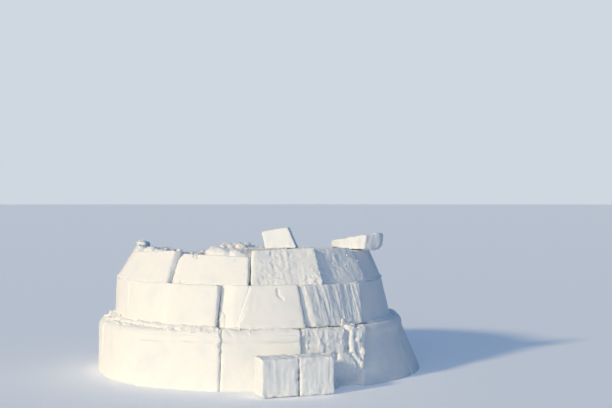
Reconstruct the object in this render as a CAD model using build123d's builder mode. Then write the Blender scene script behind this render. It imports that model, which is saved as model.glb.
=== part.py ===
from build123d import *
from math import cos, radians, sin, tan
from typing import NamedTuple
import os

# A snow-block house in the making: three leaning courses of sawn blocks stand in an
# open ring. The first block of the fourth course is on the wall, a slab lies across
# the right-hand side, and two spare blocks stand at the foot of the front.
# Sizes are in millimetres. Azimuths are in degrees round the ring, seen from above:
# 0 at the front (-Y), 90 on the right (+X), 180 at the back, -90 on the left.

# Outer radius of the ring at the foot of its front and back
foot_radius = 1550

# Beds between the courses and the usual top, as heights at the outer face
first_bed_height = 530
second_bed_height = 900
usual_wall_top = 1175

# How far the outer face stands in from the foot radius, on the left, at the front
# and on the right; the back repeats the front
first_foot_setbacks = (5, 0, -62)
first_head_setbacks = (118, 125, 175)
second_foot_setbacks = (165, 138, 232)
second_head_setbacks = (172, 218, 332)
third_foot_setbacks = (178, 278, 336)
third_head_setbacks = (355, 415, 465)

# Thickness of the wall in each course, measured level
first_thickness = 262
second_thickness = 205
third_thickness = 200

# How far a course's bed falls towards the middle, in degrees
bed_fall = 6

# Clearances: end to end in a course, course on course, and loose on fixed
joint_gap = 4
bed_gap = 0.3
seat_gap = 0.3

# Blocks at the back, shared evenly over the stretch that the named joints leave, how
# far they stand in and out of line by turns, and the third course's uneven tops
first_course_back_blocks = 6
second_course_back_blocks = 6
third_course_back_rises = (-15, -30, -35, -20, -80, -20)
back_block_swing = 3

# Rounded shoulder along the top of the first course: its height, and its reach
# outward past the second course on the left, at the front and on the right
shoulder_height = 105
shoulder_reaches = (105, 62, 45)
shoulder_bulge = 0.2

# Spade gouges down the face of the hewn block: the depth of each, from the left,
# where the first one is, their pitch, the lean of the first and how it changes from
# one to the next, their middle height, length and width for each depth
gouge_depths = (12, 19, 14, 22, 13, 18, 21, 12, 20, 14, 22, 13)
gouge_start = -238
gouge_pitch = 46
gouge_first_tilt = -11
gouge_tilt_step = 1.1
gouge_tilt_swing = 3
gouge_height = 185
gouge_length = 620
gouge_widths_per_depth = 2.2
gouge_skew = 0.3

# Scoop down the near side of the filler block, beside its proud neighbour
scoop_radius = 442
scoop_depth = 26

# Block that is just being set on the front wall
set_block_azimuth = 14.4
set_block_turn = 22
set_block_foot_width = 292
set_block_near_height = 172
set_block_far_height = 200
set_block_near_slant = 12
set_block_far_slant = 21
set_block_thickness = 170
set_block_lean = 12
set_block_setback = 66

# Slab lying across the top of the right-hand side, how far it is shifted from the
# middle of the block under it, and the facets of its outer end
slab_azimuth = 73
slab_shift = -50
slab_length = 455
slab_width = 270
slab_thin_end = 75
slab_thick_end = 176
slab_overhang = 180
slab_foot_facet = 46
slab_head_facet = 22
slab_corner_length = 112
slab_corner_width = 135

# Spare blocks standing in a row in front of the wall
spare_row_azimuth = 20
spare_block_height = 340
spare_block_depth = 245
spare_left_width = 334
spare_right_width = 322
spare_row_start = -535
spare_top_slope = 1.5

# How far a profile or a cut runs past the surface that trims it
trim_reach = 60


class Course(NamedTuple):
    """One course: its beds, its face's setbacks at foot and head, and its thickness."""

    name: str
    foot_height: float
    head_height: float
    foot_setbacks: tuple
    head_setbacks: tuple
    thickness: float


class Joint(NamedTuple):
    """A joint between two blocks, by its foot and how far it leans along the wall."""

    azimuth: float
    tilt: float = 0


class Groove(NamedTuple):
    """A V-shaped cut in a block's face, placed from the middle of the face's foot."""

    along: float
    height: float
    tilt: float
    length: float
    width: float
    depth: float
    skew: float = 0.5


class Bevel(NamedTuple):
    """A flat cut along a block's end: its width on the face and its depth."""

    foot_width: float
    head_width: float
    depth: float


class Corner(NamedTuple):
    """A flat cut off a block's head at its near joint."""

    width: float
    height: float


class Block(NamedTuple):
    """One block of a course, up to its far joint, with how it stands and its cuts."""

    far: Joint
    proud: float = 0
    turn: float = 0
    rise: float = 0
    roll: float = 0
    fall: float = bed_fall
    near_bevel: Bevel = None
    far_bevel: Bevel = None
    near_corner: Corner = None
    scooped: bool = False
    grooves: tuple = ()


first_course = Course(
    "first_course", 0, first_bed_height,
    first_foot_setbacks, first_head_setbacks, first_thickness,
)
second_course = Course(
    "second_course", first_bed_height, second_bed_height,
    second_foot_setbacks, second_head_setbacks, second_thickness,
)
third_course = Course(
    "third_course", second_bed_height, usual_wall_top,
    third_foot_setbacks, third_head_setbacks, third_thickness,
)

# Cuts in the faces of single blocks
spade_gouges = tuple(
    Groove(
        gouge_start + index * gouge_pitch, gouge_height,
        gouge_first_tilt + index * gouge_tilt_step + (index % 3 - 1) * gouge_tilt_swing,
        gouge_length, gouge_widths_per_depth * depth, depth, gouge_skew,
    )
    for index, depth in enumerate(gouge_depths)
)
break_crack = Groove(200, 445, 4, 260, 52, 56, 0.6)
foot_hollow = Groove(212, 34, 84, 330, 190, 85)

# Blocks as laid, from the left round the front to the right
first_course_start = Joint(-98)
first_course_blocks = [
    Block(Joint(-69), turn=1),
    Block(Joint(-40), proud=4, turn=-1),
    Block(Joint(-9.3), proud=12, turn=1.5, far_bevel=Bevel(6, 14, 22)),
    Block(Joint(17.3), proud=-2),
    Block(Joint(38.7, tilt=14), proud=4, turn=-2, grooves=(break_crack, foot_hollow)),
    Block(Joint(68)),
    Block(Joint(94)),
]
second_course_start = Joint(-84)
second_course_blocks = [
    Block(Joint(-58), turn=1),
    Block(Joint(-31.8), proud=4, turn=-1),
    Block(Joint(-12.2, tilt=2.5), proud=22, turn=3),
    Block(Joint(-4.4, tilt=15), proud=-6, turn=-3, scooped=True),
    Block(Joint(20.5, tilt=-7.5), proud=6, turn=-1, far_bevel=Bevel(12, 12, 18)),
    Block(
        Joint(46.5, tilt=8), proud=4, turn=4, near_bevel=Bevel(97, 53, 38),
        grooves=spade_gouges,
    ),
    Block(Joint(76)),
    Block(Joint(102)),
]
third_course_start = Joint(-98)
third_course_blocks = [
    Block(Joint(-68), turn=1, rise=54, fall=20),
    Block(
        Joint(-33.6, tilt=-4), proud=8, turn=2, rise=4, roll=3.5, far_bevel=Bevel(12, 36, 45)
    ),
    Block(
        Joint(-0.3, tilt=0.5), turn=-1, rise=-15, roll=-2.5, far_bevel=Bevel(8, 14, 40),
        near_corner=Corner(45, 60),
    ),
    Block(Joint(29.7), proud=4, rise=40, roll=2, near_bevel=Bevel(8, 20, 30)),
    Block(Joint(57.5, tilt=-12.5), proud=-4, turn=-2, rise=36),
    Block(Joint(88), rise=-2, fall=-4),
]


def radial(azimuth):
    """Give the unit vector that points outward at an azimuth."""
    return Vector(sin(radians(azimuth)), -cos(radians(azimuth)), 0)


def tangent(azimuth):
    """Give the unit vector along the wall, towards growing azimuth."""
    return Vector(cos(radians(azimuth)), sin(radians(azimuth)), 0)


def around(azimuth, sizes):
    """Blend a size between the left, front and right of the ring."""
    left, front, right = sizes
    side = right if sin(radians(azimuth)) > 0 else left
    return front + (side - front) * sin(radians(azimuth)) ** 2


def foot_face(course, azimuth):
    """Give the radius of a course's outer face at its foot."""
    return foot_radius - around(azimuth, course.foot_setbacks)


def head_face(course, azimuth):
    """Give the radius of a course's outer face at its head."""
    return foot_radius - around(azimuth, course.head_setbacks)


def bed_at(course, radius):
    """Give the height of the bed on top of a course, a cone, at a radius."""
    return course.head_height - (head_face(course, 0) - radius) * tan(radians(bed_fall))


def laid_blocks(start, blocks, back_rises):
    """List a course's blocks, each with its near joint, the even back blocks last."""
    laid = []
    near = start
    for block in blocks:
        laid.append((near, block))
        near = block.far
    share = (start.azimuth + 360 - near.azimuth) / len(back_rises)
    for index, rise in enumerate(back_rises):
        swing = 1 if index % 2 else -1
        far = Joint(near.azimuth + share)
        laid.append((near, Block(far, proud=back_block_swing * swing, turn=swing, rise=rise)))
        near = far
    return laid


first_laid = laid_blocks(
    first_course_start, first_course_blocks, (0,) * first_course_back_blocks
)
second_laid = laid_blocks(
    second_course_start, second_course_blocks, (0,) * second_course_back_blocks
)
third_laid = laid_blocks(third_course_start, third_course_blocks, third_course_back_rises)


def middle_of(near, block):
    """Give the azimuth of a block's middle."""
    return (near.azimuth + block.far.azimuth) / 2


def seat_at(azimuth):
    """Find the third-course block under an azimuth, with its near joint."""
    for near, block in third_laid:
        if near.azimuth < azimuth <= block.far.azimuth:
            return near, block


def foot_corner(near, block, azimuth):
    """Give the corner of a first-course block's foot at one of its joints."""
    middle = middle_of(near, block)
    face = foot_face(first_course, middle) + block.proud
    return radial(azimuth) * (face / cos(radians(azimuth - middle - block.turn)))


ground_points = [
    foot_corner(near, block, azimuth)
    for near, block in first_laid
    for azimuth in (near.azimuth, block.far.azimuth)
]

# The spare row stands against the corner of the wall that reaches out furthest
spare_back = seat_gap + max(point.dot(radial(spare_row_azimuth)) for point in ground_points)
spare_front_corner = radial(spare_row_azimuth) * (spare_back + spare_block_depth)
spare_front_corner += tangent(spare_row_azimuth) * spare_row_start
ground_points.append(spare_front_corner)

# The origin is under the middle of everything that stands on the ground
x_values = [point.X for point in ground_points]
y_values = [point.Y for point in ground_points]
ring_centre = Vector(
    -(min(x_values) + max(x_values)) / 2, -(min(y_values) + max(y_values)) / 2, 0
)


def bed_zone(course, below):
    """Make the ring between a course's lower and upper beds, wide enough for any block."""
    inner = head_face(course, 90) - 2 * course.thickness
    outer = foot_radius + 2 * course.thickness
    with BuildPart() as zone:
        with BuildSketch(Plane(ring_centre, x_dir=(1, 0, 0), z_dir=(0, -1, 0))):
            with BuildLine():
                if below:
                    low = [(r, bed_at(below, r) + bed_gap) for r in (inner, outer)]
                else:
                    low = [(inner, 0), (outer, 0)]
                if course is third_course:
                    high = [(outer, 2 * usual_wall_top), (inner, 2 * usual_wall_top)]
                else:
                    high = [(r, bed_at(course, r)) for r in (outer, inner)]
                Polyline(*low, *high, close=True)
            make_face()
        revolve(axis=Axis(ring_centre, (0, 0, 1)))
    return zone.part


def face_lean(course, azimuth):
    """Give how far a course's outer face leans in, per millimetre of height."""
    reach = foot_face(course, azimuth) - head_face(course, azimuth)
    if course is first_course:
        reach -= around(azimuth, shoulder_reaches)
        return reach / (course.head_height - shoulder_height)
    return reach / (course.head_height - course.foot_height)


def face_plane(course, near, block):
    """Give the plane of a block's face, from the middle of its foot, with y upward."""
    middle = middle_of(near, block)
    outward = radial(middle + block.turn)
    foot = ring_centre + radial(middle) * foot_face(course, middle) + outward * block.proud
    foot += Vector(0, 0, course.foot_height)
    normal = outward + Vector(0, 0, face_lean(course, middle))
    return Plane(foot, x_dir=tangent(middle + block.turn), z_dir=normal)


def top_plane(near, block):
    """Give the plane of a third-course block's top, from its edge over the middle."""
    middle = middle_of(near, block)
    face = face_plane(third_course, near, block)
    height = usual_wall_top + block.rise
    edge = face.origin + face.y_dir * ((height - face.origin.Z) / face.y_dir.Z)
    normal = Vector(0, 0, 1) - radial(middle) * tan(radians(block.fall))
    normal -= tangent(middle) * tan(radians(block.roll))
    return Plane(edge, x_dir=tangent(middle), z_dir=normal)


def block_profile(course, middle, proud):
    """Draw a block's section, with x outward from the foot of its face and y up."""
    lean = face_lean(course, middle)
    low = course.foot_height - trim_reach
    high = course.head_height + 3 * trim_reach

    def face(height):
        return proud - lean * (height - course.foot_height)

    with BuildLine() as outline:
        if course is first_course:
            shoulder = around(middle, shoulder_reaches)
            ledge = head_face(course, middle) - foot_face(course, middle) + proud
            ledge_height = bed_at(course, head_face(course, middle))
            crease_height = course.head_height - shoulder_height
            between = (
                (face(crease_height) + ledge) / 2 + shoulder * shoulder_bulge,
                (crease_height + ledge_height) / 2 + shoulder_height * shoulder_bulge,
            )
            Line((face(low), low), (face(crease_height), crease_height))
            ThreePointArc((face(crease_height), crease_height), between, (ledge, ledge_height))
            Polyline(
                (ledge, ledge_height), (ledge, high), (face(high) - course.thickness, high)
            )
        else:
            Polyline((face(low), low), (face(high), high), (face(high) - course.thickness, high))
        Polyline(
            (face(high) - course.thickness, high), (face(low) - course.thickness, low),
            (face(low), low),
        )
    return outline.line


def joint_plane(course, joint, side):
    """Give the plane of a block's end; side is 1 at its near joint and -1 at its far one."""
    along = tangent(joint.azimuth)
    origin = ring_centre + along * (side * joint_gap / 2) + Vector(0, 0, course.foot_height)
    normal = along - Vector(0, 0, tan(radians(joint.tilt)))
    return Plane(origin, x_dir=radial(joint.azimuth), z_dir=normal)


def end_edge(course, near, block, side, height):
    """Give the point of a block's face, at a height, where it meets the joint."""
    joint = near if side == 1 else block.far
    face = face_plane(course, near, block)
    along = side * joint_gap / 2 + tan(radians(joint.tilt)) * (height - course.foot_height)
    start = ring_centre + tangent(joint.azimuth) * along + Vector(0, 0, height)
    outward = radial(joint.azimuth)
    return start + outward * ((face.origin - start).dot(face.z_dir) / outward.dot(face.z_dir))


def cut_facing(origin, normal, corner):
    """Give a plane through a point, its normal turned towards the corner it cuts off."""
    if normal.dot(corner - origin) < 0:
        normal = normal * -1
    return Plane(origin, z_dir=normal)


def bevel_plane(course, near, block, side, bevel):
    """Give the plane of a flat cut along one end of a block's face."""
    face = face_plane(course, near, block)
    foot = end_edge(course, near, block, side, course.foot_height)
    head = end_edge(course, near, block, side, course.head_height)
    joint = near if side == 1 else block.far
    low = foot + face.x_dir * (side * bevel.foot_width)
    high = head + face.x_dir * (side * bevel.head_width)
    deep = (foot + head) * 0.5 - radial(joint.azimuth) * bevel.depth
    return cut_facing(low, (high - low).cross(deep - low), foot)


def corner_plane(course, near, block):
    """Give the plane of a flat cut off a block's head at its near joint."""
    face = face_plane(course, near, block)
    top = course.head_height + block.rise
    head = end_edge(course, near, block, 1, top)
    along = head + face.x_dir * block.near_corner.width
    below = end_edge(course, near, block, 1, top - block.near_corner.height)
    return cut_facing(below, (along - below).cross(radial(near.azimuth)), head)


def groove_cutter(face, groove):
    """Make the wedge that cuts a groove."""
    up = face.y_dir * cos(radians(groove.tilt)) + face.x_dir * sin(radians(groove.tilt))
    middle = face.origin + face.x_dir * groove.along + face.y_dir * groove.height
    start = middle - up * (groove.length / 2)
    spread = 1 + trim_reach / groove.depth
    with BuildPart() as cutter:
        with BuildSketch(Plane(start, x_dir=up.cross(face.z_dir), z_dir=up)):
            with BuildLine():
                Polyline(
                    (-groove.width * groove.skew * spread, -trim_reach), (0, groove.depth),
                    (groove.width * (1 - groove.skew) * spread, -trim_reach), close=True,
                )
            make_face()
        extrude(amount=groove.length)
    return cutter.part


def scoop_cutter(course, near, block):
    """Make the round bar that scoops out the near side of a block's face."""
    face = face_plane(course, near, block)
    foot = end_edge(course, near, block, 1, course.foot_height)
    axis_foot = foot + face.z_dir * (scoop_radius - scoop_depth) - face.y_dir * trim_reach
    with BuildPart() as cutter:
        with BuildSketch(Plane(axis_foot, x_dir=face.x_dir, z_dir=face.y_dir)):
            Circle(scoop_radius)
        extrude(amount=course.head_height - course.foot_height + 3 * trim_reach)
    return cutter.part


def wall_block(course, near, block, zone):
    """Make one block of a course, cut to its joints, its beds and its own marks."""
    middle = middle_of(near, block)
    outward = radial(middle + block.turn)
    foot = ring_centre + radial(middle) * foot_face(course, middle)
    section = Plane(foot, x_dir=outward, z_dir=outward.cross(Vector(0, 0, 1)))
    half_width = foot_radius * tan(radians(middle - near.azimuth))
    with BuildPart() as piece:
        with BuildSketch(section):
            with BuildLine():
                add(block_profile(course, middle, block.proud))
            make_face()
        extrude(amount=half_width + course.thickness, both=True)
        split(bisect_by=joint_plane(course, near, 1), keep=Keep.TOP)
        split(bisect_by=joint_plane(course, block.far, -1), keep=Keep.BOTTOM)
        add(zone, mode=Mode.INTERSECT)
        if course is third_course:
            split(bisect_by=top_plane(near, block), keep=Keep.BOTTOM)
        for side, bevel in ((1, block.near_bevel), (-1, block.far_bevel)):
            if bevel:
                split(bisect_by=bevel_plane(course, near, block, side, bevel), keep=Keep.BOTTOM)
        if block.near_corner:
            split(bisect_by=corner_plane(course, near, block), keep=Keep.BOTTOM)
        if block.scooped:
            add(scoop_cutter(course, near, block), mode=Mode.SUBTRACT)
        for groove in block.grooves:
            cutter = groove_cutter(face_plane(course, near, block), groove)
            add(cutter, mode=Mode.SUBTRACT)
    return piece.part


def standing_block(name, width, along):
    """Make one spare block of the row, standing on the ground, with a sloping top."""
    corner = ring_centre + radial(spare_row_azimuth) * spare_back
    corner += tangent(spare_row_azimuth) * (along + width / 2)
    floor = Plane(corner, x_dir=tangent(spare_row_azimuth), z_dir=(0, 0, 1))
    slope = Vector(0, 0, 1) + tangent(spare_row_azimuth) * tan(radians(spare_top_slope))
    with BuildPart() as spare:
        with BuildSketch(floor):
            Rectangle(width, spare_block_depth, align=(Align.CENTER, Align.MAX))
        extrude(amount=spare_block_height + trim_reach)
        split(
            bisect_by=Plane(corner + Vector(0, 0, spare_block_height), z_dir=slope),
            keep=Keep.BOTTOM,
        )
    spare.part.label = name
    return spare.part


def seat_frame(seat, shift, setback, turn=0):
    """Give a frame on a block's top, with x inward, turned if asked, and y up."""
    inward = seat.z_dir.cross(seat.x_dir)
    foot = seat.origin + seat.z_dir * seat_gap + seat.x_dir * shift + inward * setback
    forward = inward * cos(radians(turn)) + seat.x_dir * sin(radians(turn))
    return Plane(foot, x_dir=forward, z_dir=forward.cross(seat.z_dir))


def lying_slab():
    """Make the slab that lies across the wall, on the block under it."""
    near, block = seat_at(slab_azimuth)
    side = seat_frame(top_plane(near, block), slab_shift, -slab_overhang)
    corner = side.origin - side.z_dir * (slab_width / 2)
    along_face = corner + side.x_dir * slab_corner_length
    across_end = corner + side.z_dir * slab_corner_width
    cut = cut_facing(along_face, (across_end - along_face).cross(side.y_dir), corner)
    with BuildPart() as slab:
        with BuildSketch(side):
            with BuildLine():
                Polyline(
                    (slab_foot_facet, 0), (slab_length, 0), (slab_length, slab_thin_end),
                    (slab_head_facet, slab_thick_end), (0, slab_thick_end - slab_head_facet),
                    (0, slab_foot_facet), close=True,
                )
            make_face()
        extrude(amount=slab_width / 2, both=True)
        split(bisect_by=cut, keep=Keep.BOTTOM)
    slab.part.label = "slab_across_wall"
    return slab.part


def block_being_set():
    """Make the first block of the fourth course, on the top of the front wall."""
    near, block = seat_at(set_block_azimuth)
    middle = middle_of(near, block)
    seat = top_plane(near, block)
    shift = head_face(third_course, middle) * tan(radians(set_block_azimuth - middle))
    side = seat_frame(seat, shift, set_block_setback, set_block_turn)
    height = max(set_block_near_height, set_block_far_height)
    lean = height * tan(radians(set_block_lean))
    near_foot = side.origin - side.z_dir * (set_block_foot_width / 2)
    far_foot = side.origin + side.z_dir * (set_block_foot_width / 2)
    near_edge = side.y_dir - side.z_dir * tan(radians(set_block_near_slant))
    far_edge = side.y_dir - side.z_dir * tan(radians(set_block_far_slant))
    near_head = near_foot + near_edge * set_block_near_height
    far_head = far_foot + far_edge * set_block_far_height
    with BuildPart() as fourth:
        with BuildSketch(side):
            with BuildLine():
                Polyline(
                    (0, 0), (set_block_thickness, 0), (set_block_thickness + lean, height),
                    (lean, height), close=True,
                )
            make_face()
        extrude(amount=2 * set_block_foot_width, both=True)
        split(bisect_by=cut_facing(near_foot, near_edge.cross(side.x_dir), far_foot), keep=Keep.TOP)
        split(bisect_by=cut_facing(far_foot, far_edge.cross(side.x_dir), near_foot), keep=Keep.TOP)
        split(
            bisect_by=cut_facing(near_head, (far_head - near_head).cross(side.x_dir), near_foot),
            keep=Keep.TOP,
        )
    fourth.part.label = "block_being_set"
    return fourth.part


os.makedirs("parts", exist_ok=True)

for course, below, laid in (
    (first_course, None, first_laid),
    (second_course, first_course, second_laid),
    (third_course, second_course, third_laid),
):
    zone = bed_zone(course, below)
    for number, (near, block) in enumerate(laid, start=1):
        name = f"{course.name}_block_{number:02d}"
        piece = wall_block(course, near, block, zone)
        piece.label = name
        export_step(piece, f"parts/{name}.step")

fourth = block_being_set()
export_step(fourth, "parts/block_being_set.step")

slab = lying_slab()
export_step(slab, "parts/slab_across_wall.step")

spare_left = standing_block("spare_block_left", spare_left_width, spare_row_start)
export_step(spare_left, "parts/spare_block_left.step")

spare_right = standing_block(
    "spare_block_right", spare_right_width, spare_row_start + spare_left_width + seat_gap
)
export_step(spare_right, "parts/spare_block_right.step")
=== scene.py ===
"""Looks of a part-built snow-block house: sawn, hewn, trowelled and broken snow."""

import logging
import math
import random
from collections.abc import Callable
from dataclasses import asdict, dataclass, field, fields
from enum import Enum
from functools import partial

import bmesh
import bpy
from mathutils import Matrix, Vector

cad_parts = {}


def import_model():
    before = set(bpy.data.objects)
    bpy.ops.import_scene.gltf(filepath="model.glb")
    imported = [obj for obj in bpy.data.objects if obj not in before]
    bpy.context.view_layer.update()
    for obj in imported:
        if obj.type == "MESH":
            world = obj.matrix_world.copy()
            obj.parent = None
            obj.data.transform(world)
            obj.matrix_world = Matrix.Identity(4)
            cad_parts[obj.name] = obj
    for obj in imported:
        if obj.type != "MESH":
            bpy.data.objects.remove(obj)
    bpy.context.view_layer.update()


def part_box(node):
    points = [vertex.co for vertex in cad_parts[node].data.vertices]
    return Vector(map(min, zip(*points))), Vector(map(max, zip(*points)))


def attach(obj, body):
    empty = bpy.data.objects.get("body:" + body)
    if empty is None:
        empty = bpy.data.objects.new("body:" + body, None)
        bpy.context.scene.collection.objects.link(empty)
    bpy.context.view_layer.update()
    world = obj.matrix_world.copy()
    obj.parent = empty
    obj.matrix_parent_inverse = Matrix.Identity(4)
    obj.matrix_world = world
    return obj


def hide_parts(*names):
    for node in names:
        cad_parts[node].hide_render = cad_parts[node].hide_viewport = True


logging.basicConfig(level=logging.INFO, format="%(message)s")
LOG = logging.getLogger("snow_house")

Socket = bpy.types.NodeSocket
Sockets = bpy.types.bpy_prop_collection

ROOT = "root"
WALL_SLOT = "wall_snow"
LOOSE_SLOT = "loose_block_snow"

# Middle of the ring on the ground, as the part's source works it out
RING_CENTRE = Vector((-0.0305, 0.1501, 0.0))

# Voxel edges of the snow's skin, in metres: a centimetre is one pixel in the photograph
SKIN_VOXEL = 0.0105
HEAP_VOXEL = 0.009

# Heights of the ledge on the first course and of the narrow step on the second
LEDGE_HEIGHT = 0.53
SHELF_HEIGHT = 0.90

# What makes a direction level when it is multiplied by it
LEVEL = (1.0, 1.0, 0.0)

# The nodes that come up most, and the smooth way of a Map Range from value to value
MATH = "ShaderNodeMath"
VECTORS = "ShaderNodeVectorMath"
RANGE = "ShaderNodeMapRange"
NOISE = "ShaderNodeTexNoise"
EASED = "SMOOTHSTEP"

# Seeds of the blocks' tool marks: the step in a course, and the first loose block
SEED_STEP = 0.37
LOOSE_SEED = 31.3


def srgb(colour: str) -> tuple[float, float, float, float]:
    """Turn an sRGB hex colour into linear RGBA.

    Args:
        colour: Six hex digits, with or without a leading hash.

    Returns:
        The linear red, green, blue and an alpha of 1.
    """
    digits = colour.lstrip("#")
    channels = []
    for start in (0, 2, 4):
        value = int(digits[start:start + 2], 16) / 255
        linear = value / 12.92 if value <= 0.04045 else ((value + 0.055) / 1.055) ** 2.4
        channels.append(linear)
    return (*channels, 1.0)


def add_node(
    tree: bpy.types.NodeTree, kind: str, links: dict | list | None = None,
    **settings: object,
) -> Sockets:
    """Add one node with its settings, values and links.

    Args:
        tree: Node tree that gets the node.
        kind: Blender's identifier of the node.
        links: A value or an output socket for each input, by name or index, or in order.
        settings: Properties of the node itself.

    Returns:
        The outputs of the new node.
    """
    node = tree.nodes.new(kind)
    for name, value in settings.items():
        setattr(node, name, value)
    given = links if isinstance(links, dict) else dict(enumerate(links or ()))
    for name, value in given.items():
        if isinstance(value, bpy.types.NodeSocket):
            tree.links.new(value, node.inputs[name])
        else:
            node.inputs[name].default_value = value
    return node.outputs


def mesh_of(name: str, shape: bmesh.types.BMesh) -> bpy.types.Mesh:
    """Turn a finished shape into a mesh, and free it.

    Args:
        name: Name of the mesh.
        shape: The shape, which is of no use afterwards.

    Returns:
        The mesh.
    """
    mesh = bpy.data.meshes.new(name)
    shape.to_mesh(mesh)
    shape.free()
    return mesh


def placed(name: str, data: bpy.types.ID) -> bpy.types.Object:
    """Put a mesh, a light or a camera in the scene.

    Args:
        name: Name of the object.
        data: The mesh, light or camera.

    Returns:
        The object.
    """
    thing = bpy.data.objects.new(name, data)
    bpy.context.scene.collection.objects.link(thing)
    return thing


def outward_at(azimuth: float) -> Vector:
    """Give the level direction out of the ring at an azimuth in degrees, 0 at the front."""
    return Vector((math.sin(math.radians(azimuth)), -math.cos(math.radians(azimuth)), 0))


@dataclass(frozen=True)
class SnowFinish:
    """Wind-packed snow: matt and bright, with blue shade painted into its hollows, and
    aglow at its edges.
    """

    name: str
    face: str = "#F7F6F3"
    # Colour of the painted shade in the hollows, mixed in by how deep the surface lies
    # below its surroundings
    hollow: str = "#DFE6EE"

    # Matt, as packed grains are, with the IOR of the ice that they are
    roughness: float = 0.85
    ior: float = 1.31

    # Sugary grain, drawn coarser than the real grains of 1 mm or so, so that it shows
    grain_mm: float = 9.0
    grain_depth_mm: float = 1.2
    grain_detail: float = 3.0
    grain_strength: float = 0.5

    # Light that goes into the snow and comes out again, deepest in the blue
    glow: float = 0.15
    glow_depth_mm: float = 12.0
    glow_reach: tuple[float, float, float] = (0.7, 0.9, 1.0)

    # Faint blue patches where the snow was packed harder: their width, how finely they
    # break up, their edges and their shade
    patch_mm: float = 200.0
    patch_detail: float = 4.0
    patch_edges: tuple[float, float] = (0.45, 0.75)
    patch_shade: float = 0.35

    def material(self) -> bpy.types.Material:
        """Build the material.

        Returns:
            A node material that reads Object coordinates and the attribute of painted shade
            in hollows.
        """
        made = bpy.data.materials.new(self.name)
        made.use_nodes = True
        made.node_tree.nodes.clear()
        add = partial(add_node, made.node_tree)
        place = add("ShaderNodeTexCoord")["Object"]
        grain, clouds = (
            add(NOISE, {"Vector": place, "Scale": 1000 / width_mm, "Detail": detail})["Fac"]
            for width_mm, detail in (
                (self.grain_mm, self.grain_detail), (self.patch_mm, self.patch_detail),
            )
        )
        patch = add(
            RANGE, [clouds, *self.patch_edges, 0.0, self.patch_shade],
            interpolation_type=EASED,
        )["Result"]
        # Painted shade in the hollows, added to the random patches, mixes the face colour
        # toward the blue shade colour
        hollow = add("ShaderNodeAttribute", attribute_name="hollow")["Fac"]
        painted_shade_and_patches = add(MATH, [hollow, patch], operation="ADD")[0]
        painted_shade_and_patches = add(MATH, [painted_shade_and_patches, 1.0], operation="MINIMUM")[0]
        colour = add(
            "ShaderNodeMix",
            {"Factor": painted_shade_and_patches, 6: srgb(self.face), 7: srgb(self.hollow)}, data_type="RGBA",
        )[2]
        bump = add(
            "ShaderNodeBump",
            {
                "Height": grain, "Strength": self.grain_strength,
                "Distance": self.grain_depth_mm / 1000,
            },
        )["Normal"]
        shader = add(
            "ShaderNodeBsdfPrincipled",
            {
                "Base Color": colour, "Roughness": self.roughness, "IOR": self.ior,
                "Subsurface Weight": self.glow, "Subsurface Radius": self.glow_reach,
                "Subsurface Scale": self.glow_depth_mm / 1000, "Normal": bump,
            },
        )["BSDF"]
        add("ShaderNodeOutputMaterial", {"Surface": shader})
        return made


@dataclass(frozen=True)
class SnowWork:
    """How a block was left by its tools and the weather, with depths in metres.

    Softness and edge wear are the share of the way to a rounded shape, all over and at
    the edges. Slant is sideways per height. Bow is how far the face follows the ring's
    round instead of staying flat, 0 to 1.
    """

    softness: float = 0.0
    edge_wear: float = 0.75
    top_wear: float = 0.018
    lumps: float = 0.012
    crumble: float = 0.003
    streaks: float = 0.0
    streak_spacing: float = 0.05
    slant: float = 0.0
    scallops: float = 0.0
    scallop_size: float = 0.09
    chips: float = 0.0
    chip_size: float = 0.07
    crease: float = 0.0
    crease_height: float = 0.41
    crease_pitch: float = 0.065
    bow: float = 0.0


class Face(Enum):
    """The ways a block was left."""

    SAWN = SnowWork(bow=1.0)
    SMOOTHED = SnowWork(edge_wear=0.6, lumps=0.014, crumble=0.004, bow=0.4)
    PACKED = SnowWork(edge_wear=0.6, lumps=0.014, crumble=0.004, bow=1.0)
    TROWELLED = SnowWork(edge_wear=0.9, lumps=0.012, crumble=0.0015, bow=1.0)
    MOTTLED = SnowWork(
        scallops=0.005, scallop_size=0.035, chips=0.012, chip_size=0.05, lumps=0.02,
        crumble=0.010, streaks=0.002, streak_spacing=0.03,
    )
    DIMPLED = SnowWork(
        scallops=0.004, scallop_size=0.05, chips=0.006, chip_size=0.07, lumps=0.02,
        crumble=0.011, streaks=0.001, streak_spacing=0.025, bow=0.4,
    )
    HEWN = SnowWork(
        softness=0.95, streaks=0.0055, streak_spacing=0.015, slant=-0.12, lumps=0.014,
        crumble=0.013, edge_wear=0.5, bow=0.8,
    )
    CREASED = SnowWork(edge_wear=0.8, crease=0.009, lumps=0.016, crumble=0.005, bow=0.4)
    BROKEN = SnowWork(
        softness=0.3, edge_wear=0.9, lumps=0.035, chips=0.03, chip_size=0.11, crumble=0.008,
        bow=0.4,
    )
    CUT_FREE = SnowWork(
        edge_wear=0.6, lumps=0.016, streaks=0.003, streak_spacing=0.03, top_wear=0.032,
        crumble=0.005,
    )
    LIFTED = SnowWork(edge_wear=0.25, lumps=0.012, top_wear=0.002, crumble=0.005)


@dataclass(frozen=True)
class Edges:
    """How open each side of a block is, from 0, fused with its neighbour, to 1, open."""

    near: float = 0.12
    far: float = 0.12
    head: float = 0.12
    foot: float = 0.12


class Cloud(Enum):
    """Cloudy patterns in the snow: how many to a metre, and how finely they break up."""

    CREASES = (3.0, 2.0)
    FACES = (4.0, 2.0)
    LUMPS = (4.5, 2.0)
    JOINTS = (7.0, 3.0)
    TOPS = (9.0, 3.0)
    EDGES = (11.0, 3.0)
    LOOSE_LUMPS = (14.0, 2.0)
    RAGS = (19.0, 3.0)
    CRUMBLE = (26.0, 4.0)
    LOOSE_CRUMBLE = (45.0, 3.0)


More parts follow.
